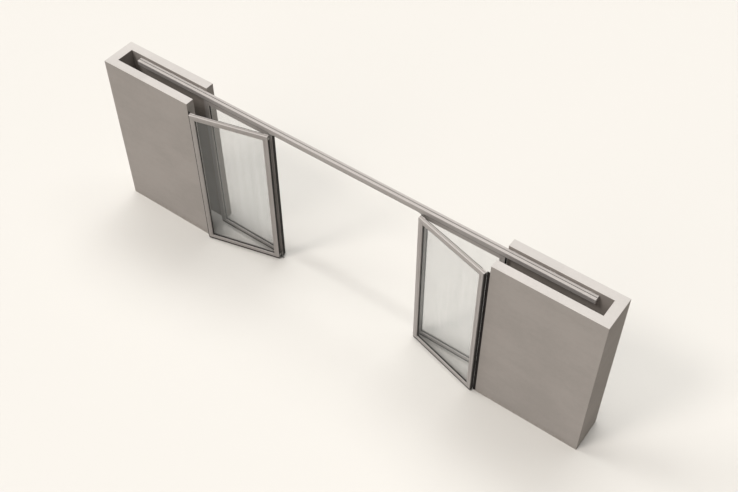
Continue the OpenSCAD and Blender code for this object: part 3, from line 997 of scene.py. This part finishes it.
for side in SIDES:
    axis = pivot_axis(side)
    round_points = corners(f"{side}_floor_pivot", axis, lambda point: point.z > 20 * MM)
    PIN_R = max(point.xy.length for point in round_points)
    for node, screws_up in ((f"{side}_floor_pivot", True), (f"{side}_top_pivot", False)):
        piece(f"{node}_plate", plate_with_pin(node, axis, PIN_R, screws_up), steel, "frame",
              [node], axis)
    print(side, "pivot pins", round(PIN_R * 2 / MM, 2), "mm")

# %% [markdown]
# ## Pivot eyes
# Each eye is a steel angle screwed to the end of the leaf, with a turned ring welded on its arm.
# The ring is made on the lathe with a bearing bush at each end, and the angle is an outline in
# plan that is drawn out to its height.

# %% Pivot eyes
for side in SIDES:
    leaf = f"{side}_swing"
    node, place = f"{leaf}_pivot_eyes", LINE[leaf]
    heights = levels(node, 2, place)
    reach = measured(node, place)
    ring_r = -reach[0].x
    bore_r = min(point.xy.length for point in corners(node, place))
    plate_x = [level for level in levels(node, 0, place) if level > ring_r + 1 * MM]
    arm = reach[1].y / 2
    eyes = []
    for z0, z1 in zip(heights[::2], heights[1::2]):
        tall = z1 - z0
        bush, brim, soft, ease = ring_r - 0.9 * MM, 1.4 * MM, 0.3 * MM, 0.5 * MM
        ring = lathe([(bore_r, 0), (bush - soft, 0), (bush, soft), (bush, brim),
                      (ring_r - ease, brim), (ring_r, brim + ease), (ring_r, tall - brim - ease),
                      (ring_r - ease, tall - brim), (bush, tall - brim), (bush, tall - soft),
                      (bush - soft, tall), (bore_r, tall)], 48)
        angle = outline([(ring_r * 0.8, -arm), (plate_x[-2], -arm), (plate_x[-2], reach[0].y),
                         (plate_x[-1], reach[0].y), (plate_x[-1], arm), (ring_r * 0.8, arm)])
        ease_corners(angle, 1.5 * MM,
                     lambda point: point.x > plate_x[-1] - CLOSE and point.y > 0, 4)
        angle = ease_edges(draw_out(angle, tall), ease,
                           lambda one, other: min(one.x, other.x) > ring_r)
        parts = [ring, angle]
        for high_up in (0.25, 0.75):
            head = screw_head(3.2 * MM, 1.6 * MM, 0.3 * MM)
            moved(head, Matrix.Rotation(-math.pi / 2, 4, "Y"))
            parts.append(moved(head, plate_x[-2], (reach[0].y + arm) / 2 - 4 * MM, tall * high_up))
        eyes.append(moved(joined(*parts), 0, 0, z0))
    piece(f"{leaf}_eyes", joined(*eyes), steel, f"{leaf}_leaf", [node], place)
    print(side, "eyes at", [round(height, 3) for height in heights])

# %% [markdown]
# ## Trolleys
# The sliding leaf hangs from two trolleys inside the track. A trolley is a steel block on four
# polymer wheels, and a threaded stem with a washer and a nut carries the leaf. The wheels and the
# washers are turned on the lathe; nuts start as a ring of six corners.

# %% Wheel, nut and trolley


def wheel(radius, wide, bore):
    """A wheel with a hub, standing on z = 0."""
    hub, rim, dish = bore + 2.4 * MM, radius - 2.6 * MM, 1.2 * MM
    return lathe([
        (bore, 0), (hub, 0), (hub, dish), (rim, dish), (rim, 0), (radius - 0.8 * MM, 0),
        (radius, 0.8 * MM), (radius, wide - 0.8 * MM), (radius - 0.8 * MM, wide), (rim, wide),
        (rim, wide - dish), (hub, wide - dish), (hub, wide), (bore, wide)], 40)


def nut(across, height):
    mesh = bmesh.new()
    to_corner = across / 2 / math.cos(math.pi / 6)
    bmesh.ops.create_circle(mesh, cap_ends=True, segments=6, radius=to_corner)
    return ease_edges(draw_out(mesh, height), 0.7 * MM)


def washer(radius, bore, height):
    return lathe([(bore, 0), (radius - 0.3 * MM, 0), (radius, 0.3 * MM), (radius, height - 0.3 * MM),
                  (radius - 0.3 * MM, height), (bore, height)], 32)


AXLE_R, NUT_ACROSS, WASHER_R, WASHER_T = 4 * MM, 16 * MM, 9.6 * MM, 1.6 * MM
across_track = Matrix.Rotation(math.radians(90), 4, "X")
for side in SIDES:
    leaf = f"{side}_slide"
    node = f"{leaf}_trolleys"
    low, high = measured(node, PLACE[leaf])
    middle_y = (low.y + high.y) / 2
    faces = levels(node, 1, PLACE[leaf])
    wheel_w, half_block = faces[1] - faces[0], middle_y - faces[2]
    wheels, hardware = [], []
    for first in (True, False):
        points = corners(node, PLACE[leaf], lambda point: (point.x < WIDTH[leaf] / 2) == first)
        x_mid = sum(span(points, 0)) / 2
        stem_x0, stem_x1 = span([point for point in points if point.z < low.z + 1 * MM], 0)
        stem_r = (stem_x1 - stem_x0) / 2
        rims = [point for point in points if abs(point.y - faces[0]) < CLOSE]
        wheel_z0, wheel_z1 = span(rims, 2)
        wheel_r = (wheel_z1 - wheel_z0) / 2
        base = span(rims, 0)[1] - x_mid - wheel_r
        flank = [point for point in points if abs(point.y - faces[2]) < CLOSE]
        block_end = span(flank, 0)[1]
        long = 2 * (block_end - x_mid)
        block_z0, block_z1 = span([point for point in flank if point.x > block_end - CLOSE], 2)
        block = rectangle(-long / 2, -half_block, long / 2, half_block)
        ease_corners(block, 4 * MM, steps=4)
        ease_edges(draw_out(block, block_z1 - block_z0), 0.8 * MM)
        shank = pin(stem_r, block_z0 + 2 * MM - low.z, 0.8 * MM)
        hardware += [moved(part, x_mid, middle_y, z) for part, z in (
            (block, block_z0), (shank, low.z), (washer(WASHER_R, stem_r, WASHER_T), LEAF_Z1),
            (nut(NUT_ACROSS, 6 * MM), LEAF_Z1 + WASHER_T),
            (nut(NUT_ACROSS, 5 * MM), block_z0 - 5 * MM))]
        for x in (x_mid - base, x_mid + base):
            z = (wheel_z0 + wheel_z1) / 2
            axle = moved(pin(AXLE_R, high.y - low.y, 0.6 * MM), across_track)
            hardware.append(moved(axle, x, high.y, z))
            for y in (low.y + wheel_w, high.y):
                wheels.append(moved(moved(wheel(wheel_r, wheel_w, AXLE_R), across_track), x, y, z))
    leaf_piece(leaf, "trolley_blocks", joined(*hardware), steel, ["trolleys"])
    leaf_piece(leaf, "trolley_wheels", joined(*wheels), polymer, ["trolleys"])
    print(leaf, "trolleys", [round(v / MM) for v in (long, half_block * 2, block_z1 - block_z0)],
          "mm with", len(wheels), "wheels of", round(wheel_r * 2 / MM), "mm")

# %% [markdown]
# ## Floor
# The wall stands on a pale floor that runs on to a pale background. The floor must look nearly
# white and still take a soft shadow, so its colour is high for what the camera sees. If it threw
# that much light back, the undersides and the insides of the pockets would be washed out, so it
# is darker for bounced light. The Light Path node tells the two apart.

# %% Floor and world


def pale(paint, seen, for_light):
    """The colour seen directly, in mirrors and through glass, and the one that lights things."""
    path = {name: paint.node("ShaderNodeLightPath", out=name)
            for name in ("Is Camera Ray", "Is Glossy Ray", "Is Transmission Ray")}
    direct = path["Is Camera Ray"].maths("MAXIMUM", path["Is Camera Ray"], path["Is Glossy Ray"])
    return blended(direct.maths("MAXIMUM", direct, path["Is Transmission Ray"]),
                   for_light, seen)


def floor_finish():
    paint = new_paint("pale_floor")
    return finished(paint, Base_Color=pale(paint, (0.603, 0.583, 0.546), (0.31, 0.28, 0.25)),
                    Roughness=0.9, Specular_IOR_Level=0.0)


floor = bpy.data.meshes.new("floor")
sheet = rectangle(-40, -40, 40, 40)
sheet.to_mesh(floor)
sheet.free()
floor.materials.append(floor_finish())
floor_object = placed("floor", floor)

world = Paint(bpy.data.worlds.new("soft_room"))
backdrop = world.node("ShaderNodeBackground", None, {
    "Color": pale(world, (0.973, 0.939, 0.871), (0.112, 0.109, 0.106)), "Strength": 1.0})
world.node("ShaderNodeOutputWorld", None, {"Surface": backdrop})
bpy.context.scene.world = world.owner
print("floor", floor_object.name)

# %% [markdown]
# ## Light
# The wall stands in a studio with soft lamps in a ring high above it, most of them behind the
# track and toward its left end. Each one lays a pale shadow of its own on the floor, and together
# they leave one soft dark patch round each pocket. A wide sun is the simplest such lamp: it is
# equally strong over the whole eight metres, and its angle sets how soft its shadow is. A narrow
# one right overhead lays the soft line of the track on the floor between the leaves, and a low and
# very wide one in front keeps the front faces readable.

# %% Lamps


def lamp(name, strength, down_deg, from_deg, width_deg, colour=(1.0, 1.0, 1.0)):
    """A sun down_deg away from the zenith; from_deg is 0 for light from +x and 90 from +y."""
    data = bpy.data.lights.new(name, "SUN")
    data.energy, data.angle, data.color = strength, math.radians(width_deg), colour
    placed(name, data).rotation_euler = (math.radians(down_deg), 0, math.radians(from_deg + 90))
    print("lamp", name, strength)


lamp("left_lamp_high", 0.26, 27, 185, 12)
lamp("left_lamp_low", 0.95, 45, 190, 24)
lamp("back_left_lamp", 0.76, 27, 145, 24)
lamp("back_lamp", 1.05, 27, 100, 24)
lamp("back_right_lamp", 0.29, 28, 50, 20)
lamp("overhead_lamp", 0.86, 3.4, 270, 6)
lamp("front_left_lamp", 1.03, 38, 238, 14, (1.0, 0.955, 0.925))
lamp("front_fill", 0.54, 62, 262, 50, (1.0, 0.94, 0.905))

bpy.context.scene.view_settings.view_transform = "Standard"
